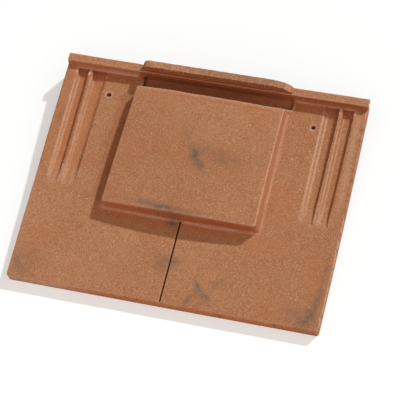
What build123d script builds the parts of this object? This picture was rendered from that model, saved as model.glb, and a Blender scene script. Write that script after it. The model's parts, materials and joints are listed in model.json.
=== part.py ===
"""Double-width clay plain tile with an in-line vent hood, moulded and fired as one piece.

The tile is drawn in its own plane, X across the roof, Y from tail to head and Z out of its top face,
and is then tipped onto its tail edge and its nib bar, as it lies on a level floor. Sizes in mm.
"""

import os
from math import atan2, degrees

from build123d import *

os.makedirs("parts", exist_ok=True)

# Body of the tile
tile_width = 335.0
tile_length = 265.0
tile_thickness = 12.0
tail_corner_radius = 3.0
head_corner_radius = 1.2
edge_radius = 1.0

# Upstand along the head: a rim, a narrow ledge in front of it and a taller middle
rim_height = 10.8
rim_top_width = 9.1
rim_riser_run = 1.6
ledge_height = 5.2
ledge_width = 2.5
ledge_riser_run = 0.9
raised_height = 22.3
raised_front_run = 1.1
raised_top_width = 7.8
raised_ledge_width = 1.3
raised_left = -81.0
raised_right = 86.0
raised_slope_length = 28.0
raised_end_radius = 7.0

# Side ribs, measured in from each side edge; they rise from nothing to the ledge
rib_length = 153.0
strip_top_width = 12.2
strip_wall_run = 3.2
outer_groove_floor = 8.8
ridge_outer_run = 2.1
ridge_top_width = 2.3
ridge_inner_run = 2.8
inner_groove_floor = 9.9
inner_slope_run = 3.4
groove_sink = 1.9
groove_runout = 20.0
groove_exit = 0.35
outer_groove_head_rise = 0.4
inner_groove_head_sink = 1.1
brow_clearance = 0.05

# Hood with a crowned top, and the hollow under it
hood_tail_margin = 96.0
hood_tail_width = 167.0
hood_tail_shift = -2.4
hood_head_width = 164.0
hood_corner_height = 15.2
crown_rise_across = 3.7
crown_rise_along = 1.7
hood_tail_side_run = 3.2
hood_head_side_run = 1.4
hood_tail_run = 0.8
hood_tail_bow = 1.3
hood_wall = 11.0
hood_corner_radius = 4.0
hood_edge_radius = 1.5
hood_foot_radius = 3.0

# Vent slot between hood and ledge: a sloping recess, and a throat beside the hood that goes right through
slot_length = 18.5
recess_left = -80.5
recess_right = 87.5
recess_length = 11.8
recess_head_depth = 1.5
recess_tail_depth = 6.5
recess_corner_radius = 3.0
throat_length = 9.0
throat_side_wall = 8.0

# Nail holes, false joint and nib bar
nail_hole_diameter = 5.0
nail_hole_from_centre = 114.5
nail_hole_from_head = 38.0
joint_width = 1.8
joint_depth = 4.0
joint_end_gap = 1.2
nib_bar_width = 190.0
nib_drop = 11.0
nib_tip = 6.0

# How far cuts and joined solids run past the surface they meet
overrun = 1.0

# Places that follow from the sizes
half_width = tile_width / 2
rim_front = tile_length - rim_top_width
ledge_back = rim_front - rim_riser_run
ledge_front = ledge_back - ledge_width
floor_end = ledge_front - ledge_riser_run
slot_back = tile_length - raised_top_width - raised_front_run - raised_ledge_width
hood_head = slot_back - slot_length
hood_length = hood_head - hood_tail_margin
hood_centre = hood_tail_margin + hood_length / 2
crown_height = hood_corner_height + crown_rise_across + crown_rise_along
crown_radius_along = (hood_length / 2) ** 2 / (2 * crown_rise_along) + crown_rise_along / 2
crown_axis = Axis((0, hood_centre, crown_height - crown_radius_along), (1, 0, 0))
crown_angle = 2 * degrees(atan2(hood_length, crown_radius_along))
rib_tail = tile_length - rib_length
strip_edge = half_width - strip_top_width
strip_foot = strip_edge - strip_wall_run
ridge_outer_foot = strip_foot - outer_groove_floor
ridge_outer_edge = ridge_outer_foot - ridge_outer_run
ridge_inner_edge = ridge_outer_edge - ridge_top_width
ridge_inner_foot = ridge_inner_edge - ridge_inner_run
slope_foot = ridge_inner_foot - inner_groove_floor
slope_top = slope_foot - inner_slope_run
joint_head = hood_tail_margin - hood_tail_run - hood_tail_bow
nib_front = slot_back
rest_tilt = degrees(atan2(nib_drop, nib_front))


def rib_level(y):
    """Height of the rib tops at a distance from the tail."""
    return ledge_height * (y - rib_tail) / (ledge_front - rib_tail)


def hood_outline(z, inset):
    """Plan of the hood at height z, moved in by the inset; its tail side is bowed outward."""
    below = 1 - z / hood_corner_height
    tail_x = hood_tail_width / 2 + hood_tail_side_run * below - inset
    head_x = hood_head_width / 2 + hood_head_side_run * below - inset
    tail_y = hood_tail_margin - hood_tail_run * below + inset
    tail_left, tail_right = (hood_tail_shift - tail_x, tail_y), (hood_tail_shift + tail_x, tail_y)
    with BuildSketch(Plane.XY.offset(z)) as outline:
        with BuildLine():
            ThreePointArc(tail_left, (hood_tail_shift, tail_y - hood_tail_bow), tail_right)
            Polyline(tail_right, (head_x, hood_head), (-head_x, hood_head), tail_left)
        make_face()
    return outline.sketch


def crown_barrel(depth):
    """Body whose top lies at a depth under the hood's crown, arched both across and along the tile."""
    reach = tile_width / 2
    edge_drop = crown_rise_across * (2 * reach / hood_tail_width) ** 2
    top = crown_radius_along - depth
    start = Plane(crown_axis.position, x_dir=(1, 0, 0), z_dir=(0, -1, 0)).rotated((-crown_angle / 2, 0, 0))
    with BuildPart() as barrel:
        with BuildSketch(start):
            with BuildLine():
                ThreePointArc((-reach, top - edge_drop), (0, top), (reach, top - edge_drop))
                Polyline(
                    (reach, top - edge_drop),
                    (reach, top - tile_width),
                    (-reach, top - tile_width),
                    (-reach, top - edge_drop),
                )
            make_face()
        revolve(axis=crown_axis, revolution_arc=crown_angle)
    return barrel.part


def on_top_edge(edge):
    """Whether an edge bounds the top of the slab at its tail and sides, or the top of the rim."""
    middle = edge.position_at(0.5)
    if middle.Z < -0.01 or abs(edge.tangent_at(0.5).Z) > 0.99:
        return False
    at_side = abs(middle.X) > half_width - head_corner_radius
    at_tail = middle.Y < tail_corner_radius
    at_rim_top = middle.Z > rim_height - 0.01
    return at_side or at_tail or at_rim_top


def groove_section(y, floor, inner_wall, outer_wall):
    """Section across a groove, each wall given by its foot, its edge and the height of the surface it cuts."""
    inner_foot, inner_edge, inner_top = inner_wall
    outer_foot, outer_edge, outer_top = outer_wall
    across = 1 if outer_foot > inner_foot else -1
    lid = max(inner_top, outer_top) + overrun
    with BuildSketch(Plane.XZ.offset(-y)) as section:
        with BuildLine():
            Polyline((inner_foot, floor), (outer_foot, floor))
            Spline((outer_foot, floor), (outer_edge, outer_top), tangents=[(across, 0), (across, 1)])
            Polyline((outer_edge, outer_top), (outer_edge, lid), (inner_edge, lid), (inner_edge, inner_top))
            Spline((inner_edge, inner_top), (inner_foot, floor), tangents=[(across, -1), (across, 0)])
        make_face()
    return section.sketch


with BuildPart() as vent_tile:
    # slab, ledge and rim share one side profile
    with BuildSketch(Plane.YZ):
        with BuildLine():
            Polyline(
                (0, -tile_thickness),
                (tile_length, -tile_thickness),
                (tile_length, rim_height),
                (rim_front, rim_height),
                (ledge_back, ledge_height),
                (ledge_front, ledge_height),
                (floor_end, 0),
                (0, 0),
                close=True,
            )
        make_face()
    extrude(amount=half_width, both=True)

    # wedges that carry the side ribs
    for inner_side in (ridge_inner_foot, -half_width):
        with BuildSketch(Plane.YZ.offset(inner_side)):
            with BuildLine():
                Polyline(
                    (rib_tail, 0),
                    (ledge_front, ledge_height),
                    (ledge_back, ledge_height),
                    (ledge_back, -overrun),
                    (rib_tail, -overrun),
                    close=True,
                )
            make_face()
        extrude(amount=half_width - ridge_inner_foot)

    # plan corners, then the edges of the top face and of the rim
    fillet(vent_tile.edges().filter_by(Axis.Z).group_by(Axis.Y)[0], tail_corner_radius)
    fillet(vent_tile.edges().filter_by(Axis.Z).group_by(Axis.Y)[-1], head_corner_radius)
    fillet(vent_tile.edges().filter_by(on_top_edge), edge_radius)

with BuildPart() as grooves:
    for side in (1, -1):
        for inner_foot, inner_edge, inner_rise, outer_foot, outer_edge, head_floor in (
            (ridge_outer_foot, ridge_outer_edge, 1, strip_foot, strip_edge, outer_groove_head_rise),
            (slope_foot, slope_top, 0, ridge_inner_foot, ridge_inner_edge, -inner_groove_head_sink),
        ):
            sections = []
            for y, floor in (
                (rib_tail, groove_exit),
                (rib_tail + groove_runout, -groove_sink),
                (ledge_front, head_floor),
            ):
                inner_top = max(inner_rise * rib_level(y), 2 * floor) + brow_clearance
                outer_top = max(rib_level(y), 2 * floor) + brow_clearance
                inner_wall = (side * inner_foot, side * inner_edge, inner_top)
                outer_wall = (side * outer_foot, side * outer_edge, outer_top)
                sections.append(groove_section(y, floor, inner_wall, outer_wall))
            loft(sections=sections, ruled=True)

with BuildPart() as hood:
    loft(sections=[hood_outline(-overrun, 0), hood_outline(crown_height + overrun, 0)])
    upright = hood.edges().filter_by(lambda edge: abs(edge.tangent_at(0.5).Z) > 0.5)
    fillet(upright.group_by(Axis.Y)[0], hood_corner_radius)
    add(crown_barrel(0), mode=Mode.INTERSECT)
    fillet(hood.faces().sort_by(Axis.Z)[-1].edges(), hood_edge_radius)

with BuildPart() as hollow:
    loft(sections=[hood_outline(-tile_thickness - overrun, hood_wall), hood_outline(crown_height, hood_wall)])
    add(crown_barrel(hood_wall), mode=Mode.INTERSECT)

with BuildPart() as recess:
    with BuildSketch(Plane.YZ.offset(recess_left)):
        with BuildLine():
            Polyline(
                (slot_back, -recess_head_depth),
                (slot_back, ledge_height + overrun),
                (slot_back - recess_length, ledge_height + overrun),
                (slot_back - recess_length, -recess_tail_depth),
                close=True,
            )
        make_face()
    extrude(amount=recess_right - recess_left)
    fillet(recess.edges().filter_by(Axis.Z), recess_corner_radius)

with vent_tile:
    add(grooves.part, mode=Mode.SUBTRACT)
    add(hood.part)

    # foot of the hood, on all sides but the head
    foot = hood_outline(0, 0).bounding_box()
    foot_edges = vent_tile.edges().filter_by(
        lambda edge: abs(edge.center().Z) < 0.01
        and abs(edge.center().X) < foot.max.X + 0.1
        and joint_head - 0.1 < edge.center().Y < hood_head - overrun
    )
    fillet(foot_edges, hood_foot_radius)

    # taller middle of the rim, square at one end and sloped at the other
    slope_start = raised_right - raised_slope_length
    raised_root = rim_height - overrun
    with BuildSketch(Plane.XZ.offset(-tile_length)):
        with BuildLine():
            Polyline(
                (raised_right, raised_root),
                (raised_left, raised_root),
                (raised_left, raised_height - raised_end_radius),
            )
            RadiusArc(
                (raised_left, raised_height - raised_end_radius),
                (raised_left + raised_end_radius, raised_height),
                raised_end_radius,
            )
            Line((raised_left + raised_end_radius, raised_height), (slope_start, raised_height))
            Spline((slope_start, raised_height), (raised_right, raised_root), tangents=[(1, 0), (0.4, -1)])
        make_face()
    extrude(amount=raised_top_width)
    with BuildSketch(Plane.YZ.offset(raised_left + raised_end_radius)):
        with BuildLine():
            Polyline(
                (slot_back + raised_ledge_width, ledge_height),
                (tile_length - raised_top_width, raised_height),
                (tile_length - overrun, raised_height),
                (tile_length - overrun, ledge_height),
                close=True,
            )
        make_face()
    extrude(amount=slope_start - raised_left - raised_end_radius)

    # nib bar under the head
    with BuildSketch(Plane.YZ):
        with BuildLine():
            Polyline(
                (nib_front, -tile_thickness + overrun),
                (nib_front, -tile_thickness - nib_drop),
                (nib_front + nib_tip, -tile_thickness - nib_drop),
                (tile_length - overrun, -tile_thickness),
                (tile_length - overrun, -tile_thickness + overrun),
                close=True,
            )
        make_face()
    extrude(amount=nib_bar_width / 2, both=True)

    # hollow under the hood, the throat beside it and the sloping recess
    add(hollow.part, mode=Mode.SUBTRACT)
    with BuildSketch(Plane.XY.offset(-tile_thickness - overrun)):
        with Locations((0, hood_head + throat_length / 2)):
            Rectangle(hood_head_width - 2 * throat_side_wall, throat_length)
    extrude(amount=tile_thickness + 2 * overrun, mode=Mode.SUBTRACT)
    add(recess.part, mode=Mode.SUBTRACT)

    # nail holes
    with Locations((-nail_hole_from_centre, tile_length - nail_hole_from_head, 0),
                   (nail_hole_from_centre, tile_length - nail_hole_from_head, 0)):
        Hole(nail_hole_diameter / 2)

    # false joint from the foot of the hood to the tail
    with BuildSketch(Plane.XY.offset(-joint_depth)):
        with Locations((0, (joint_head + joint_end_gap) / 2)):
            SlotOverall(joint_head - joint_end_gap, joint_width, rotation=90)
    extrude(amount=joint_depth + overrun, mode=Mode.SUBTRACT)

laid = Rot(rest_tilt, 0, 0) * vent_tile.part
box = laid.bounding_box()
laid = Pos(0, -(box.min.Y + box.max.Y) / 2, -box.min.Z) * laid
laid.label = "vent_tile"
export_step(laid, "parts/vent_tile.step")
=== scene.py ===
"""A double-width clay vent tile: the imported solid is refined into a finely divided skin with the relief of
pressed and fired clay, and painted with a procedural terracotta.

The tile frame has X across the tile, Y from its tail to its head and Z out of its top face, in millimetres,
with its origin at the middle of the tail's upper edge. Everything is placed in the row frame, in metres.
"""

import json
from bisect import bisect_left
from collections import namedtuple
from math import atan2, radians

import bmesh
import bpy
import numpy as np
from mathutils import Matrix, Vector, noise
from mathutils.bvhtree import BVHTree


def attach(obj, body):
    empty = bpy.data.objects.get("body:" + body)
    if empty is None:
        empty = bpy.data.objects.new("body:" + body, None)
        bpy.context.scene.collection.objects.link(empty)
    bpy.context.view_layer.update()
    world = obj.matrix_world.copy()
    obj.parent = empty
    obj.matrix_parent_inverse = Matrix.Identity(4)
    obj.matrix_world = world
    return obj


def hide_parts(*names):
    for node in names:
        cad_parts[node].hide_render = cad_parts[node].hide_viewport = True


MM = 0.001
FAR = 1000.0
TINY = 1e-6
WHITE = (1, 1, 1, 1)

# A zone has a span on each axis: where it starts, is full, stops being full and ends.
# A mirrored zone is measured from the middle, so it is on both sides.
Zone = namedtuple("Zone", "x y z mirrored", defaults=(False,))
# A speckle has a size in mm and a detail. It goes from least to most as the noise goes from low to high.
Speckle = namedtuple("Speckle", "size detail low high least most", defaults=(0.0, 1.0))


def above(start, full):
    """A span that starts at one place, is full at the next and goes on."""
    return (start, full, FAR, FAR)


def below(last, end):
    """A span that is full up to one place and ends at the next."""
    return (-FAR, -FAR, last, end)


def between(low, high, soft):
    """A span that is full between two places, and fades over the soft width outside them."""
    return (low - soft, low, high, high + soft)


EVERYWHERE = (-FAR, -FAR, FAR, FAR)

# Camera, found from the tile's outline in the photograph, in the tile frame
CAMERA_PLACE = Vector((384.11, -580.03, 1645.04))
CAMERA_RIGHT = Vector((0.96517135, 0.23394201, -0.1171128))
CAMERA_UP = Vector((-0.16572495, 0.89309635, 0.41822739))
CAMERA_CLIP = (0.05, 20)
FOCAL_PIXELS = 1727.9
FRAME_PIXELS = 400
SENSOR_WIDTH = 36.0

# Light, in the tile frame
SUN_DIRECTION = Vector((0.452, 0.681, 0.572))
SUN_COLOR = (0.79, 0.93, 1.0)
SUN_STRENGTH = 3.08
SUN_ANGLE = 2.5
SKY_COLOR = (1.0, 0.86, 0.79)
SKY_STRENGTH = 0.56
SKY_TILT = Vector((0.5, -1.0, 0.15))

# Floor: its half size in metres, its colour in the light on the tile and as seen, and how far it looks white
FLOOR_HALF = 4.0
FLOOR_COLOR = (0.8, 0.8, 0.8)
FLOOR_SEEN = (1.0, 1.0, 0.975)
FLOOR_GLOW = 0.45

# A nail hole, at mid thickness, in the tile frame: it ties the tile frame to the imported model
NAIL_HOLE = Vector((-114.5, 227.0, -6.0))

# Rays that find how sheltered a place is: tip from the vertical and number of each ring, where they start
# over the skin and how far they reach, in mm, and the rounds of averaging after them
SHELTER_RINGS = ((0.4, 4), (1.0, 8))
SHELTER_START = 0.3
SHELTER_REACH = 70.0
SHELTER_ROUNDS = 2

# Fineness of the skin where it shows and elsewhere, and the welds before, during and after its cuts, in mm
FINE_STEP = 1.7
COARSE_STEP = 8.0
MESH_WELD = 0.005
CUT_SNAP = 0.01
CUT_WELD = 0.05

# The first cut is this part of a step in from the end
FIRST_CUT_PART = 3

# Angles within which faces are one flat face, and past which an edge is sharp
FLAT_ANGLE = radians(0.03)
SHARP_ANGLE = radians(50)

# Upward share of a face's normal past which it isn't cut at heights, and below which it is on the underside
LEVEL_FACE = 0.7
UNDERSIDE_FACE = -0.5

# What is hidden under the tile, in the tile frame
BODY_THICKNESS = 12.0
HOLLOW_HALF_WIDTH = 79.0
HOLLOW_TAIL = 104.0
HOLLOW_HEAD = 235.5
HOLLOW_TOP = 11.0
ON_SHOW = above(-BODY_THICKNESS - 0.5, -BODY_THICKNESS + 1)

# Distance from the middle at which the rim's lift and the fall of the tone are whole
HALF_WIDTH = 167

# Clay colours, and the mottle of the body: size in mm, weight
CLAY_RICH = (0.340, 0.132, 0.052)
CLAY_PALE = (0.442, 0.202, 0.098)
# painted shade: a deep red that stands in for shade on walls turned from the sun, in hollows and in cast
# shadows
CLAY_PAINTED_SHADE = (0.34, 0.088, 0.026)
# an orange that is partly the clay's own and partly painted bounce light in shadows, on walls and the tail
# face
CLAY_ORANGE_BOUNCE = (0.44, 0.135, 0.045)
# painted shade: the darkest shade, in the slot's recess, the tail's pits, the nicks and shaded faces at the
# rim
CLAY_DARK_SHADE = (0.10, 0.036, 0.018)
CLAY_WORN = (0.56, 0.31, 0.21)
CLAY_SAND = (0.66, 0.42, 0.27)
CLAY_SPOT = (0.24, 0.09, 0.045)
CLAY_SCORCHED = (0.15, 0.095, 0.066)
BODY_MOTTLE = ((1.3, 0.95), (3.0, 0.32), (8.0, 0.15), (40.0, 0.12))
MOTTLE_VALUES = (0.3, 0.7)

# Speckles of the clay, and the height of its grain
WORN_PATCHES = Speckle(4, 3, 0.3, 0.6, 0.5, 1.1)
SCORCH_PATCHES = Speckle(5, 4, 0.3, 0.6, 0.3, 1.15)
SAND = Speckle(1.4, 1, 0.67, 0.74, 0, 0.75)
ROUGH_SAND = Speckle(2, 2, 0.5, 0.68, 0, 0.4)
DARK_SPOTS = Speckle(2.1, 1, 0.3, 0.24, 0, 0.6)
GRAIN = Speckle(1.2, 2, 0.2, 0.8)
ROUGHNESS = Speckle(3, 2, 0.3, 0.7, 0.78, 0.95)
SAND_GRAIN = 0.4
GRAIN_HEIGHT = 0.16
GRAIN_STRENGTH = 0.6
CLAY_SPECULAR = 0.25

# How far the noise is shifted from one seed to the next
NOISE_SHIFT = Vector((17.3, 5.1, 9.7))

# Lumps of the pressed face: size in mm, seed of the noise, height in mm
LUMPS = ((45, 1, 0.22), (13, 2, 0.08), (4, 3, 0.05))

# Wear of the arrises: how sharp they are, in 1/mm, where neighbours nearer than NEAREST count as that far,
# and what they lose in mm, with more where they are chipped
NEAREST = 0.1
ARRIS_SHARPNESS = (0.05, 0.35)
ARRIS_WEAR = 0.12
CHIP_SIZE, CHIP_SEED = 7, 4
CHIP_VALUES = (0.15, 0.5)
CHIP_WEAR = 0.35

# Rough top of the taller middle: its lumps, and how much the top is lower
ROUGH_TOP = Zone(EVERYWHERE, above(250, 256), above(17, 20))
ROUGH_SIZE, ROUGH_SEED, ROUGH_HEIGHT = 3.5, 5, 0.22
ROUGH_LOSS = 0.1

# Pits in the cut face of the tail, and nicks along the right edge, drawn out over the tile's thickness
TAIL_FACE = below(0.1, 0.6)
SIDE_FACE = above(166.6, 167.3)
PIT_SIZE, PIT_SEED, PIT_DEPTH = 4.5, 6, 0.7
PIT_VALUES = (0.32, 0.6)
NICK_SIZE, NICK_SEED, NICK_DEPTH = 4.5, 11, 1.5
NICK_VALUES = (0.12, 0.4)
NICK_STRETCH = (0.2, 1, 0.4)
NICK_ZONE = Zone(above(165.0, 166.3), EVERYWHERE, above(-8, -2))

# How the pressing drew the walls of the ribs: distance from the middle in the solid, then near the tail end
# and near the head on each side, and where those two are, in y
RIBS = Zone(EVERYWHERE, (110, 118, 250, 252), above(-6, -4))
RIB_SPAN = between(116, 163, 1)
RIB_WALLS = (115, 122.7, 126.1, 136.1, 138.9, 141.2, 143.3, 152.1, 155.3, 164)
RIB_WALLS_LEFT_TAIL = (115, 123.3, 127.3, 135.3, 138.4, 142.2, 144.2, 151.4, 154.9, 164)
RIB_WALLS_LEFT_HEAD = (115, 122.9, 126.1, 135.3, 138.4, 142.2, 143.9, 151.4, 154.9, 164)
RIB_WALLS_RIGHT_TAIL = (115, 121.8, 127.0, 134.7, 136.7, 141.7, 144.8, 150.4, 152.3, 164)
RIB_WALLS_RIGHT_HEAD = (115, 121.8, 127.0, 136.7, 138.5, 141.7, 144.8, 152.6, 154.3, 164)
RIB_TAIL, RIB_HEAD = 132, 236

# How much lower the floor of the inner groove lies than in the solid, and how much higher near the head
INNER_GROOVE = Zone(between(127, 132, 3), (118, 135, 232, 246), above(-6, -4), True)
INNER_GROOVE_SINK = 0.6
INNER_GROOVE_HEAD = Zone(between(127, 134, 2), (236, 246, 250, 252), above(-6, -4), True)
INNER_GROOVE_LIFT = 0.6

# Where the grooves keep their depth to their tail ends: distances from the middle, and the depth on each side
RUN_OUT_Y = between(120, 142, 10)
RUN_OUT_LEFT = (between(124.5, 128.0, 1.5), between(143.9, 147.0, 1.5))
RUN_OUT_RIGHT = (between(133.5, 136.7, 1.5), between(150.0, 153.1, 1.5))
RUN_OUT_DEPTH_LEFT = 0.9
RUN_OUT_DEPTH_RIGHT = 1.1

# Pale lines along the ribs: distance from the middle, half width and strength, on the left and right
PALE_LINES_LEFT = ((135.6, 1.0, 0.6), (138.0, 1.2, 0.7), (152.1, 1.6, 0.7), (155.1, 1.3, 0.85))
PALE_LINES_RIGHT = ((122.3, 1.8, 0.9), (126.6, 1.8, 0.8), (139.3, 1.0, 0.3), (141.5, 1.1, 0.8),
                    (144.9, 1.3, 0.7), (160.5, 6.0, 0.45))
PALE_LINES_SPAN = (115, 167)

# Crown of the hood, smoothed over its facets: rounds of averaging that find its inside and its height
CROWN = Zone(between(-82, 82, 1), between(99, 236, 1), above(12, 12))
CROWN_LEVEL = above(0.97, 0.99)
CROWN_INSIDE_ROUNDS = 8
CROWN_INSIDE = (0.9, 1)
CROWN_HEIGHT_ROUNDS = 16

# Channel behind the lip at the head edge of the hood, its middle in y, and how that edge sags toward the tail
LIP_CHANNEL = Zone(between(-66, 68, 5), EVERYWHERE, above(12, 12))
LIP_CHANNEL_MIDDLE = 229.7
LIP_CHANNEL_WIDTH = 2.2
LIP_CHANNEL_DEPTH = 0.7
HEAD_EDGE_SAG = Zone(between(-20, 60, 25), between(234, 240, 12), above(2, 6))

# Sides bowed out, by how much at their middle, a flared corner, and the rim's lifted ends
BOW = 0.8
BOW_MIDDLE, BOW_HALF_LENGTH = 132, 133
BOW_X = above(120, 167)
FLARE = 1.8
FLARE_ZONE = Zone(above(158, 167), above(250, 258), above(2, 8))
RIM_LIFT = 1.2
RIM_LIFT_ZONE = Zone(above(88, 88), above(250, 256), above(5, 9), True)

# Finger marks: x, y, half length, half width, turn, depth, and how far from the face's level they reach
DIMPLES = (
    (-105, 181, 2.4, 2.0, 0, 0.5),
    (-105, 171, 2.0, 1.8, 0, 0.45),
    (102, 146, 1.3, 1.2, 0, 0.5),
)
DIMPLE_REACH = 2

# Grey marks of the firing: x, y, half length, half width, turn, strength
SCORCHES = (
    (1, 163, 9, 4.5, 110, 0.95),
    (10, 152, 9, 4, 120, 0.75),
    (-12, 186, 14, 8, 100, 0.25),
    (8, 172, 10, 8, 0, 0.3),
    (34, 164, 22, 11, 0, 0.4),
    (-40, 101, 20, 3, -3, 0.5),
    (-18, 99, 14, 3.5, -3, 0.85),
    (5, 98.5, 12, 2.5, 0, 0.5),
    (24, 99, 14, 2.5, 0, 0.3),
    (-8, 90.5, 6, 4, 20, 0.9),
    (-2, 84, 4, 4, 0, 0.5),
    (-6, 50, 5, 4, 0, 0.5),
    (6, 47, 4, 5, 0, 0.45),
    (-7, 39, 5, 4, 0, 0.45),
    (-13, 45, 4, 7, 0, 0.35),
    (0, 44, 12, 12, 0, 0.25),
    (34.5, 25, 6.5, 3.2, 115, 0.95),
    (42, 17, 8, 3, -50, 0.7),
    (28, 8, 6, 3, 65, 0.6),
    (55, 31, 9, 4, 30, 0.5),
    (49, 13, 6, 3, -60, 0.45),
    (-158, 16, 9, 6, 110, 0.35),
    (-148, 7, 8, 5, 0, 0.25),
    (-150, 22, 16, 12, 0, 0.25),
    (154, 14, 14, 6, 80, 0.6),
    (160, 36, 16, 4, 85, 0.55),
    (161, 68, 18, 3.5, 88, 0.4),
    (147, 8, 10, 5, 0, 0.45),
    (135, 18, 14, 10, 0, 0.25),
    (-159.7, 193, 9, 1.8, 88, 0.6),
)
ROUGH_SCORCH = 0.3
ROUGH_SCORCH_X = above(-40, 0)

# What the paint goes by: upward share of a wall's normal, how sharp a foot and an edge are, in 1/mm, how far
# a normal turns to the sun and to the left, and the share of hidden sky in a dark hollow
WALL_UPWARD = (0.3, 0.8)
FOOT_SHARPNESS = 0.12
EDGE_SHARPNESS = 0.22
SUNLIT_TURN = (0.25, 0.5)
LEFTWARD_TURN = (0.15, 0.5)
DARK_SKY = (0.55, 0.85)

# Places that take paint of their own
HEAD_END = above(243, 247)
PAINTED_RIBS = Zone(above(118, 120), (114, 150, 243, 247), EVERYWHERE, True)
GROOVES = (between(127, 136, 1.5), between(144.5, 151, 1.5))
LEFT_RIBS = Zone(below(-150, -120), above(120, 160), EVERYWHERE)
RAISED_FRONT = Zone(between(-84, 88, 2), above(250, 253), above(3, 6))
RIGHT_RISER = Zone(above(86, 92), (250, 253, 260, 260), above(3, 6))
LEDGE_LEFT = Zone((-170, -88, 0, 0), between(251.5, 254.5, 0.6), between(4, 6, 0.5))
LEDGE_RIGHT = Zone(above(92, 95), between(251, 254.5, 1), between(3, 7, 1))
LEDGE_MIDDLE = Zone(between(-84, 88, 2), between(249, 254.3, 0.6), between(2, 6.5, 0.8))
BELOW_LEDGE = Zone(above(89, 92), between(241, 251, 3), below(1, 1), True)
BEFORE_HOOD = Zone(between(-92, 58, 6), between(86, 97, 3), below(1, 1))
BESIDE_HOOD = Zone(between(-101, -89, 2), between(105, 228, 8), below(1, 1))
TAIL_WALL = Zone(above(-70, -20), between(86, 101, 2), above(1, 1))
HOOD_LIP = Zone(between(-75, 78, 3), between(233, 236, 1), above(12, 12))
SLOT_HEAD = Zone(between(-86, 90, 2), between(248, 255, 1), below(14, 14))
SLOT_SIDES = between(-90, 90, 1)
FALSE_JOINT = Zone(between(-3, 3, 1), below(90, 97), EVERYWHERE)
TAIL_ARRIS = below(2, 4)
LEFT_OF_TAIL = below(-130, -60)
REST_OF_TAIL = above(-120, -60)
RIM_TOP = Zone(EVERYWHERE, above(255, 257), above(8, 10))

# How strongly each place takes each paint
# orange: painted bounce light in the shadow before the hood, on walls and the tail face; elsewhere the clay's
# own
ORANGE_BOUNCE_PLACES = {"before_hood": 0.5, "pressed_wall": 0.35, "left_ribs": 0.25, "left_groove": 0.4,
                 "right_groove": 0.14, "rest_of_tail": 0.4, "lip_channel": 0.4, "orange_patch": 0.2}
# painted shade: hidden sky, the cast shadows beside the hood and below the ledge, shaded walls, risers and
# ledges
SHADE_PLACES = {"sheltered": 1, "beside_hood": 0.4, "below_ledge": 0.4, "tail_wall": 0.4, "raised_front": 1,
               "right_riser": 0.8, "ledge_right": 0.6, "ledge_middle": 1, "turned_left": 1}
# painted shade, darker still: the slot's recess, the tail's pits, the nicks and the shaded faces at the rim
DARK_SHADE_PLACES = {"dark_hollow": 0.9, "raised_front": 0.18, "right_riser": 0.18, "ledge_middle": 0.3,
               "tail_pit": 0.6, "nick": 0.45}
WORN_PLACES = {"hood_lip": 0.2, "left_of_tail": 0.7}
WORN_EDGES, WORN_FEET, WORN_LEDGE = 0.8, 0.6, 0.5
# how the share of hidden sky turns into painted shade
SHELTER_GAIN, SHELTER_LOSS = 1.5, 0.35
RIM_SPECKS = 0.5

# How much of a paint is held back: of worn at the tail's arris, the false joint, the slot and the rough top,
# and of the painted shade at a foot, in the sun and before the hood
WORN_BACK_TAIL, WORN_BACK_JOINT, WORN_BACK_SLOT, WORN_BACK_ROUGH = 0.6, 0.8, 0.9, 0.7
SHADE_BACK_FOOT, SHADE_BACK_SUN, SHADE_BACK_HOOD = 0.7, 0.8, 0.5

# Orange patches, and the tone of the body: middle, fall to the right, and its clouds as size, seed and weight
PATCH_SIZE, PATCH_SEED = 35, 9
PATCH_VALUES = (0.0, 0.5)
TONE_MIDDLE, TONE_FALL = 0.5, 0.12
TONE_CLOUDS = ((60, 8, 0.2), (22, 10, 0.12))


def mount(frame, name):
    return next(m for m in frame["record"]["mounts"] if m["name"] == name)


def tile_to_row(frame):
    """The matrix from the tile frame, in millimetres, to the row frame, in metres."""
    hole = mount(frame, "nail_hole_left")
    out = Vector(hole["axis"])
    turn = Matrix.Rotation(atan2(-out.y, out.z), 4, "X")
    shift = Vector(hole["pos_m"]) - turn @ (NAIL_HOLE * MM)
    return Matrix.Translation(shift) @ turn @ Matrix.Scale(MM, 4)


def make_camera(to_row):
    turn = to_row.to_3x3().normalized()
    right, up = turn @ CAMERA_RIGHT, turn @ CAMERA_UP
    rows = Matrix((right, up, right.cross(up)))
    data = bpy.data.cameras.new("camera")
    data.sensor_width = SENSOR_WIDTH
    data.lens = FOCAL_PIXELS * SENSOR_WIDTH / FRAME_PIXELS
    data.clip_start, data.clip_end = CAMERA_CLIP
    camera = bpy.data.objects.new("camera", data)
    camera.matrix_world = Matrix.Translation(to_row @ CAMERA_PLACE) @ rows.transposed().to_4x4()
    bpy.context.scene.collection.objects.link(camera)
    bpy.context.scene.camera = camera


def make_node(tree, kind, inputs, **settings):
    """A shader node: each input is a number, a colour or the socket that feeds it."""
    node = tree.nodes.new("ShaderNode" + kind)
    for name, value in settings.items():
        setattr(node, name, value)
    for name, value in inputs.items():
        if isinstance(value, bpy.types.NodeSocket):
            tree.links.new(value, node.inputs[name])
        else:
            node.inputs[name].default_value = value
    return node


def opaque(color):
    return (*color, 1.0)


def seen_plainly(tree):
    """A socket that is 1 for what the camera, a gloss or a clear body shows, and 0 for light on a surface."""
    path = make_node(tree, "LightPath", {})
    rays = [path.outputs[name] for name in ("Is Camera Ray", "Is Glossy Ray", "Is Transmission Ray")]
    either = make_node(tree, "Math", {0: rays[0], 1: rays[1]}, operation="MAXIMUM")
    return make_node(tree, "Math", {0: either.outputs[0], 1: rays[2]}, operation="MAXIMUM").outputs[0]


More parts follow.
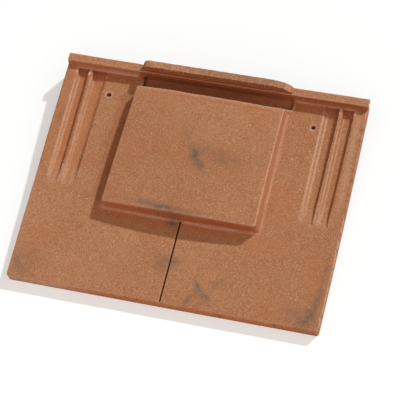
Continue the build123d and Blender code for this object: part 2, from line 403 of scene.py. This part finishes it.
def make_sun(to_row):
    turn = to_row.to_3x3().normalized()
    data = bpy.data.lights.new("sun", "SUN")
    data.color = SUN_COLOR
    data.energy = SUN_STRENGTH
    data.angle = radians(SUN_ANGLE)
    sun = bpy.data.objects.new("sun", data)
    sun.rotation_mode = "QUATERNION"
    sun.rotation_quaternion = (turn @ SUN_DIRECTION).to_track_quat("Z", "Y")
    bpy.context.scene.collection.objects.link(sun)


def make_sky():
    """A soft sky, stronger toward the tail and the right, and a white backdrop where it is seen."""
    world = bpy.data.worlds.new("studio")
    world.use_nodes = True
    tree = world.node_tree
    tree.nodes.clear()
    direction = make_node(tree, "TexCoord", {}).outputs["Generated"]
    slope = SKY_TILT * SKY_STRENGTH
    tilt = make_node(tree, "VectorMath", {0: direction, 1: slope}, operation="DOT_PRODUCT")
    # a level face gets two thirds of the upward slope, so this keeps the light on it the same
    level = SKY_STRENGTH - slope.z * 2 / 3
    strength = make_node(tree, "Math", {0: tilt.outputs["Value"], 1: level}, operation="ADD", use_clamp=True)
    sky = make_node(tree, "Background", {"Color": opaque(SKY_COLOR), "Strength": strength.outputs[0]})
    backdrop = make_node(tree, "Background", {"Color": WHITE, "Strength": 1.0})
    both = make_node(tree, "MixShader", {0: seen_plainly(tree), 1: sky.outputs[0], 2: backdrop.outputs[0]})
    make_node(tree, "OutputWorld", {"Surface": both.outputs[0]})
    bpy.context.scene.world = world


def floor_material():
    material = bpy.data.materials.new("floor")
    material.use_nodes = True
    tree = material.node_tree
    tree.nodes.clear()
    plain = make_node(tree, "BsdfDiffuse", {"Color": opaque(FLOOR_COLOR)})
    white = make_node(tree, "BsdfDiffuse", {"Color": opaque(FLOOR_SEEN)})
    glow = make_node(tree, "Emission", {"Color": WHITE, "Strength": 1.0})
    pale = make_node(tree, "MixShader", {0: FLOOR_GLOW, 1: white.outputs[0], 2: glow.outputs[0]})
    both = make_node(tree, "MixShader", {0: seen_plainly(tree), 1: plain.outputs[0], 2: pale.outputs[0]})
    make_node(tree, "OutputMaterial", {"Surface": both.outputs[0]})
    return material


def make_floor():
    mesh = bpy.data.meshes.new("floor")
    corners = [(x * FLOOR_HALF, y * FLOOR_HALF, 0) for x, y in ((-1, -1), (1, -1), (1, 1), (-1, 1))]
    mesh.from_pydata(corners, [], [(0, 1, 2, 3)])
    mesh.materials.append(floor_material())
    floor = bpy.data.objects.new("floor", mesh)
    bpy.context.scene.collection.objects.link(floor)


def crossed(face, axis, lines):
    """Whether any of the lines runs through a face across one axis."""
    places = [vert.co[axis] for vert in face.verts]
    return bisect_left(lines, max(places)) > bisect_left(lines, min(places))


def cut_across(work, faces, axis, lines):
    """Cut the faces along the lines across one axis: first the middle line, then each half by its own."""
    faces = [face for face in faces if crossed(face, axis, lines)]
    if not faces:
        return
    middle = len(lines) // 2
    normal = Vector((0, 0, 0))
    normal[axis] = 1
    geometry = set(faces)
    for face in faces:
        geometry.update(face.edges)
        geometry.update(face.verts)
    cut = bmesh.ops.bisect_plane(work, geom=list(geometry), dist=CUT_SNAP, plane_co=normal * lines[middle],
                                 plane_no=normal)
    halves = ([], [])
    for piece in cut["geom"]:
        if isinstance(piece, bmesh.types.BMFace):
            halves[int(piece.calc_center_median()[axis] > lines[middle])].append(piece)
    cut_across(work, halves[0], axis, lines[:middle])
    cut_across(work, halves[1], axis, lines[middle + 1:])


def out_of_sight(face):
    """Whether a face is under the tile or inside the hollow of the hood."""
    x, y, z = face.calc_center_median()
    in_hollow = abs(x) < HOLLOW_HALF_WIDTH and HOLLOW_TAIL < y < HOLLOW_HEAD and z < HOLLOW_TOP
    return face.normal.z < UNDERSIDE_FACE or z < -BODY_THICKNESS or in_hollow


def refined_skin(tile, to_row):
    """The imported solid's mesh in the tile frame, with small faces where it shows and coarse elsewhere."""
    work = bmesh.new()
    work.from_mesh(tile.data)
    work.transform(to_row.inverted() @ tile.matrix_world)
    bmesh.ops.remove_doubles(work, verts=work.verts, dist=MESH_WELD)
    bmesh.ops.dissolve_limit(work, angle_limit=FLAT_ANGLE, verts=work.verts, edges=work.edges)
    work.normal_update()
    for step, hidden in ((COARSE_STEP, True), (FINE_STEP, False)):
        for axis in range(3):
            ends = [vert.co[axis] for vert in work.verts]
            lines = list(np.arange(min(ends) + step / FIRST_CUT_PART, max(ends), step))
            faces = [face for face in work.faces
                     if out_of_sight(face) == hidden and (axis < 2 or abs(face.normal.z) < LEVEL_FACE)]
            cut_across(work, faces, axis, lines)
            work.normal_update()
    bmesh.ops.remove_doubles(work, verts=work.verts, dist=CUT_WELD)
    bmesh.ops.triangulate(work, faces=work.faces)
    work.normal_update()
    work.verts.index_update()
    return work


def soft_noise(points, size, seed):
    """Smooth noise from about -1 to 1 at the points, with blobs of about the size in mm."""
    return np.array([noise.noise(Vector(point) / size + NOISE_SHIFT * seed) for point in points])


def clouds(points, layers):
    """The sum of some noises, each given as its size, seed and weight."""
    return sum(weight * soft_noise(points, size, seed) for size, seed, weight in layers)


def ramp(values, low, high):
    """0 below low, 1 above high and an S-curve between."""
    share = np.clip((values - low) / max(high - low, TINY), 0, 1)
    return share * share * (3 - 2 * share)


def share_in(values, span):
    """How far the values are inside a span, from 0 to 1."""
    start, full, last, end = span
    return ramp(values, start, full) * (1 - ramp(values, last, end))


def bulge(work, points, normals):
    """How far each point stands out from its neighbours, per mm: above 0 on an arris, below 0 in a corner."""
    out = np.zeros(len(points))
    for vert in work.verts:
        ring = [edge.other_vert(vert).index for edge in vert.link_edges]
        away = points[vert.index] - points[ring]
        reach = np.maximum(np.einsum("ij,ij->i", away, away), NEAREST ** 2)
        out[vert.index] = np.mean(away @ normals[vert.index] / reach)
    return out


def spread(work, values, rounds):
    """The values averaged with their neighbours a number of times."""
    pairs = np.array([[vert.index for vert in edge.verts] for edge in work.edges])
    count = np.bincount(pairs.ravel(), minlength=len(values)) + 1
    for _ in range(rounds):
        total = values.copy()
        np.add.at(total, pairs[:, 0], values[pairs[:, 1]])
        np.add.at(total, pairs[:, 1], values[pairs[:, 0]])
        values = total / count
    return values


def blot(x, y, mark):
    """A soft oval mark, 1 at its middle: centre x, y, half length, half width, turn in degrees."""
    centre_x, centre_y, length, width, turn = mark
    along = (x - centre_x) * np.cos(radians(turn)) + (y - centre_y) * np.sin(radians(turn))
    across = (y - centre_y) * np.cos(radians(turn)) - (x - centre_x) * np.sin(radians(turn))
    return np.exp(-(along / length) ** 2 - (across / width) ** 2)


class Skin:
    """The skin's points, which the relief moves, and what is known of each of them as the solid has it."""

    def __init__(self, work):
        self.work = work
        self.points = np.array([vert.co for vert in work.verts])
        self.normals = np.array([vert.normal for vert in work.verts])
        self.x, self.y, self.z = self.points.T.copy()
        self.side = np.abs(self.x)
        self.arris = spread(work, bulge(work, self.points, self.normals), 1)
        self.on_show = share_in(self.z, ON_SHOW)
        self.tail_face = share_in(self.y, TAIL_FACE) * self.on_show
        self.side_face = share_in(self.x, SIDE_FACE) * self.on_show
        self.rough = self.inside(ROUGH_TOP)
        off_middle = (self.y - LIP_CHANNEL_MIDDLE) / LIP_CHANNEL_WIDTH
        self.lip_channel = np.exp(-off_middle ** 2) * self.inside(LIP_CHANNEL)

    def inside(self, zone):
        """How far each point is inside a zone, from 0 to 1."""
        across = self.side if zone.mirrored else self.x
        return share_in(across, zone.x) * share_in(self.y, zone.y) * share_in(self.z, zone.z)

    def patches(self, size, seed, values):
        """Patches from 0 to 1 where the points now are."""
        return ramp(soft_noise(self.points, size, seed), *values)


def draw_ribs(skin):
    """Stand the walls of the ribs as drawn, and shape the floors of their grooves."""
    ribs = skin.inside(RIBS)
    head_share = np.clip((skin.y - RIB_TAIL) / (RIB_HEAD - RIB_TAIL), 0, 1)
    drawn = 0
    for share, left, right in ((head_share, RIB_WALLS_LEFT_HEAD, RIB_WALLS_RIGHT_HEAD),
                               (1 - head_share, RIB_WALLS_LEFT_TAIL, RIB_WALLS_RIGHT_TAIL)):
        on_left = np.interp(-skin.x, RIB_WALLS, left)
        on_right = np.interp(skin.x, RIB_WALLS, right)
        drawn += share * np.where(skin.x < 0, on_left, on_right)
    skin.points[:, 0] += np.sign(skin.x) * (drawn - skin.side) * ribs * share_in(skin.side, RIB_SPAN)
    skin.points[:, 2] -= INNER_GROOVE_SINK * skin.inside(INNER_GROOVE)
    skin.points[:, 2] += INNER_GROOVE_LIFT * skin.inside(INNER_GROOVE_HEAD)
    run_out = ribs * share_in(skin.y, RUN_OUT_Y)
    for sign, depth, spans in ((-1, RUN_OUT_DEPTH_LEFT, RUN_OUT_LEFT),
                               (1, RUN_OUT_DEPTH_RIGHT, RUN_OUT_RIGHT)):
        for span in spans:
            skin.points[:, 2] -= depth * run_out * share_in(sign * skin.x, span)


def smooth_crown(skin):
    """Smooth the crown of the hood over its facets."""
    crown = skin.inside(CROWN) * share_in(skin.normals[:, 2], CROWN_LEVEL)
    inside = ramp(spread(skin.work, crown, CROWN_INSIDE_ROUNDS), *CROWN_INSIDE)
    skin.points[:, 2] += inside * (spread(skin.work, skin.z, CROWN_HEIGHT_ROUNDS) - skin.z)


def roughen(skin):
    """Lumps, worn and chipped arrises, pits, nicks and finger marks: returns the pits and the nicks."""
    out = clouds(skin.points, LUMPS)
    chipped = skin.patches(CHIP_SIZE, CHIP_SEED, CHIP_VALUES)
    out -= ramp(skin.arris, *ARRIS_SHARPNESS) * (ARRIS_WEAR + CHIP_WEAR * chipped)
    out += skin.rough * (ROUGH_HEIGHT * soft_noise(skin.points, ROUGH_SIZE, ROUGH_SEED) - ROUGH_LOSS)
    pit = skin.patches(PIT_SIZE, PIT_SEED, PIT_VALUES) * skin.tail_face
    drawn_out = soft_noise(skin.points * NICK_STRETCH, NICK_SIZE, NICK_SEED)
    nick = ramp(drawn_out, *NICK_VALUES) * skin.inside(NICK_ZONE)
    out -= PIT_DEPTH * pit + LIP_CHANNEL_DEPTH * skin.lip_channel
    for mark in DIMPLES:
        out -= mark[-1] * blot(skin.x, skin.y, mark[:-1]) * (np.abs(skin.z) < DIMPLE_REACH)
    skin.points[:, 0] -= NICK_DEPTH * nick
    skin.points += skin.normals * (out * skin.on_show)[:, None]
    return pit, nick


def settle(skin):
    """Bend the tile as drying did: bowed sides, a flared corner, lifted rim ends, a sag in the hood."""
    bow = BOW * (1 - ((skin.y - BOW_MIDDLE) / BOW_HALF_LENGTH) ** 2) * share_in(skin.side, BOW_X)
    skin.points[:, 0] += np.sign(skin.x) * bow + FLARE * skin.inside(FLARE_ZONE)
    skin.points[:, 1] -= skin.inside(HEAD_EDGE_SAG)
    skin.points[:, 2] += RIM_LIFT * skin.inside(RIM_LIFT_ZONE) * (skin.side / HALF_WIDTH) ** 2


def hidden_sky(skin):
    """For each point, how much of the sky over the tile is hidden from it by the tile."""
    tree = BVHTree.FromBMesh(skin.work)
    rays = [Vector((np.sin(tip) * np.cos(turn), np.sin(tip) * np.sin(turn), np.cos(tip)))
            for tip, count in SHELTER_RINGS for turn in np.arange(count) * 2 * np.pi / count + tip]
    out = np.zeros(len(skin.work.verts))
    for vert in skin.work.verts:
        if skin.on_show[vert.index] > 0:
            start = vert.co + vert.normal * SHELTER_START
            hits = sum(tree.ray_cast(start, ray, SHELTER_REACH)[0] is not None for ray in rays)
            out[vert.index] = hits / len(rays)
    return spread(skin.work, out, SHELTER_ROUNDS)


def paint(places, weights):
    """The sum of some places, each with its weight."""
    return sum(weight * places[name] for name, weight in weights.items())


def paint_masks(skin, pit, nick):
    """How strongly each paint lies on each point, by the name of its attribute."""
    sky = hidden_sky(skin)
    foot = np.clip(-skin.arris / FOOT_SHARPNESS, 0, 1) * (1 - share_in(skin.y, HEAD_END))
    edge = np.clip(skin.arris / EDGE_SHARPNESS, 0, 1)
    wall = 1 - ramp(skin.normals[:, 2], *WALL_UPWARD)
    ribs = skin.inside(PAINTED_RIBS)
    grooves = ribs * sum(share_in(skin.side, span) for span in GROOVES)
    raised_front = skin.inside(RAISED_FRONT) * wall
    before_hood = skin.inside(BEFORE_HOOD)
    sunlit = wall * ramp(skin.normals @ np.array(SUN_DIRECTION), *SUNLIT_TURN)
    # painted shade where the tile hides the sky, held back at feet, on sunlit walls and before the hood
    sheltered = (SHELTER_GAIN * sky - SHELTER_LOSS) * (1 - skin.tail_face) * (1 - skin.side_face)
    sheltered *= 1 - SHADE_BACK_FOOT * foot * (1 - ribs)
    sheltered *= (1 - SHADE_BACK_SUN * sunlit) * (1 - SHADE_BACK_HOOD * before_hood)
    places = {
        "sheltered": sheltered,
        "dark_hollow": ramp(sky, *DARK_SKY) * share_in(skin.x, SLOT_SIDES),
        "pressed_wall": wall * (1 - skin.side_face),
        "turned_left": ribs * ramp(-skin.normals[:, 0], *LEFTWARD_TURN) * (1 - skin.side_face),
        "left_ribs": skin.inside(LEFT_RIBS),
        "left_groove": grooves * (skin.x < 0),
        "right_groove": grooves * (skin.x >= 0),
        "raised_front": raised_front,
        "right_riser": skin.inside(RIGHT_RISER) * wall,
        "ledge_right": skin.inside(LEDGE_RIGHT) * (1 - wall),
        "ledge_middle": skin.inside(LEDGE_MIDDLE) * (1 - wall),
        "below_ledge": skin.inside(BELOW_LEDGE),
        "before_hood": before_hood,
        "beside_hood": skin.inside(BESIDE_HOOD),
        "tail_wall": skin.inside(TAIL_WALL) * wall,
        "hood_lip": skin.inside(HOOD_LIP),
        "lip_channel": skin.lip_channel,
        "left_of_tail": skin.tail_face * share_in(skin.x, LEFT_OF_TAIL),
        "rest_of_tail": skin.tail_face * share_in(skin.x, REST_OF_TAIL),
        "tail_pit": pit,
        "nick": nick,
        "orange_patch": skin.patches(PATCH_SIZE, PATCH_SEED, PATCH_VALUES),
    }
    worn = WORN_EDGES * edge * (1 - WORN_BACK_TAIL * share_in(skin.y, TAIL_ARRIS))
    worn = (worn + WORN_FEET * foot) * (1 - ribs)
    worn += WORN_LEDGE * skin.inside(LEDGE_LEFT)
    worn *= (1 - WORN_BACK_JOINT * skin.inside(FALSE_JOINT)) * (1 - WORN_BACK_SLOT * skin.inside(SLOT_HEAD))
    worn += paint(places, WORN_PLACES)
    scorch = sum(mark[-1] * blot(skin.x, skin.y, mark[:-1]) for mark in SCORCHES)
    scorch += ROUGH_SCORCH * skin.rough * share_in(skin.x, ROUGH_SCORCH_X)
    return {
        "orange_and_bounce_light": np.clip(paint(places, ORANGE_BOUNCE_PLACES), 0, 1) * (1 - foot),
        "painted_shade": np.clip(paint(places, SHADE_PLACES), 0, 1),
        "painted_dark_shade": paint(places, DARK_SHADE_PLACES),
        "worn": np.clip(worn * (1 - WORN_BACK_ROUGH * skin.rough) * (1 - raised_front), 0, 1),
        "rib": ribs * (1 - places["turned_left"]),
        "scorch": np.clip(scorch, 0, 1),
        "rough": skin.rough + RIM_SPECKS * skin.inside(RIM_TOP) * (1 - skin.rough),
        "tone": TONE_MIDDLE - TONE_FALL * skin.x / HALF_WIDTH + clouds(skin.points, TONE_CLOUDS),
    }


def pale_lines(tree, across, side, lines):
    """Lines that run along the ribs of one side, each narrower than the faces of the skin."""
    start, end = PALE_LINES_SPAN
    along_span = make_node(tree, "MapRange", {"Value": across, "From Min": side * start * MM,
                                              "From Max": side * end * MM})
    node = make_node(tree, "ValToRGB", {0: along_span.outputs[0]})
    stops = node.color_ramp.elements
    stops[1].color = (0, 0, 0, 1)
    for middle, width, strength in lines:
        for place, level in ((middle - width, 0), (middle, strength), (middle + width, 0)):
            stops.new((place - start) / (end - start)).color = (level, level, level, 1)
    return node.outputs[0]


def clay_material():
    """Fired clay: a mottled, grainy body with sand specks, pale arrises and grey scorches, with painted shade
    in hollows and on shaded faces, and an orange that is partly painted bounce light.
    """
    material = bpy.data.materials.new("clay")
    material.use_nodes = True
    tree = material.node_tree
    place = make_node(tree, "TexCoord", {}).outputs["Object"]
    across = make_node(tree, "SeparateXYZ", {0: place}).outputs[0]

    def mask(name):
        return make_node(tree, "Attribute", {}, attribute_name=name).outputs["Fac"]

    def speckles(kind, clamp=True):
        scale = 1 / (kind.size * MM)
        cloud = make_node(tree, "TexNoise", {"Vector": place, "Scale": scale, "Detail": kind.detail})
        ends = {"From Min": kind.low, "From Max": kind.high, "To Min": kind.least, "To Max": kind.most}
        return make_node(tree, "MapRange", {"Value": cloud.outputs[0], **ends}, clamp=clamp).outputs[0]

    def math(operation, first, second):
        return make_node(tree, "Math", {0: first, 1: second}, operation=operation).outputs[0]

    def layer(factor, below, above):
        return make_node(tree, "Mix", {"Factor": factor, 6: below, 7: above}, data_type="RGBA").outputs[2]

    tone = mask("tone")
    for size, weight in BODY_MOTTLE:
        tone = math("ADD", tone, speckles(Speckle(size, 1, *MOTTLE_VALUES, -weight, weight), False))
    ribs = math("MAXIMUM", pale_lines(tree, across, -1, PALE_LINES_LEFT),
                pale_lines(tree, across, 1, PALE_LINES_RIGHT))
    worn = math("ADD", mask("worn"), math("MULTIPLY", mask("rib"), ribs))
    sand = math("MAXIMUM", speckles(SAND), math("MULTIPLY", mask("rough"), speckles(ROUGH_SAND)))
    color = layer(tone, opaque(CLAY_RICH), opaque(CLAY_PALE))
    for factor, paint_color in (
        (mask("orange_and_bounce_light"), CLAY_ORANGE_BOUNCE),
        (mask("painted_shade"), CLAY_PAINTED_SHADE),
        (mask("painted_dark_shade"), CLAY_DARK_SHADE),
        (math("MULTIPLY", worn, speckles(WORN_PATCHES)), CLAY_WORN),
        (sand, CLAY_SAND),
        (speckles(DARK_SPOTS), CLAY_SPOT),
        (math("MULTIPLY", mask("scorch"), speckles(SCORCH_PATCHES)), CLAY_SCORCHED),
    ):
        color = layer(factor, color, opaque(paint_color))

    grain = math("ADD", speckles(GRAIN), math("MULTIPLY", sand, SAND_GRAIN))
    bump = make_node(tree, "Bump", {"Height": grain, "Strength": GRAIN_STRENGTH,
                                    "Distance": GRAIN_HEIGHT * MM})
    shader = tree.nodes["Principled BSDF"]
    tree.links.new(color, shader.inputs["Base Color"])
    tree.links.new(bump.outputs[0], shader.inputs["Normal"])
    tree.links.new(speckles(ROUGHNESS), shader.inputs["Roughness"])
    shader.inputs["Specular IOR Level"].default_value = CLAY_SPECULAR
    return material


def make_skin(tile, to_row):
    """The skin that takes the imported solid's place: refined, in relief and painted."""
    work = refined_skin(tile, to_row)
    skin = Skin(work)
    draw_ribs(skin)
    smooth_crown(skin)
    pit, nick = roughen(skin)
    settle(skin)
    masks = paint_masks(skin, pit, nick)
    for vert, point in zip(work.verts, skin.points):
        vert.co = point
    mesh = bpy.data.meshes.new("tile_skin")
    work.to_mesh(mesh)
    work.free()
    for name, values in masks.items():
        mesh.attributes.new(name, "FLOAT", "POINT").data.foreach_set("value", values.astype(np.float32))
    mesh.transform(to_row)
    mesh.shade_smooth()
    mesh.set_sharp_from_angle(angle=SHARP_ANGLE)
    mesh.materials.append(clay_material())
    tile_skin = bpy.data.objects.new("tile_skin", mesh)
    bpy.context.scene.collection.objects.link(tile_skin)
    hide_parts("vent_tile")
    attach(tile_skin, "root")


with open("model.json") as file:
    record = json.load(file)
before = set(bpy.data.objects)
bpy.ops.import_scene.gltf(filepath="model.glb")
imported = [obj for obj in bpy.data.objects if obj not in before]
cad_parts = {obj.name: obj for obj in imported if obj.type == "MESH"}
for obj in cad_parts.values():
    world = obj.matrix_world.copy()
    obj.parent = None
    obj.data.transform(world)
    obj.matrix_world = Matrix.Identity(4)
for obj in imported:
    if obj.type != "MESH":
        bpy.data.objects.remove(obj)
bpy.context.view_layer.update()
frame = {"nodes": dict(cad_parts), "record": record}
to_row = tile_to_row(frame)
bpy.context.scene.view_settings.view_transform = "Standard"
make_camera(to_row)
make_sun(to_row)
make_sky()
make_floor()
make_skin(frame["nodes"]["vent_tile"], to_row)
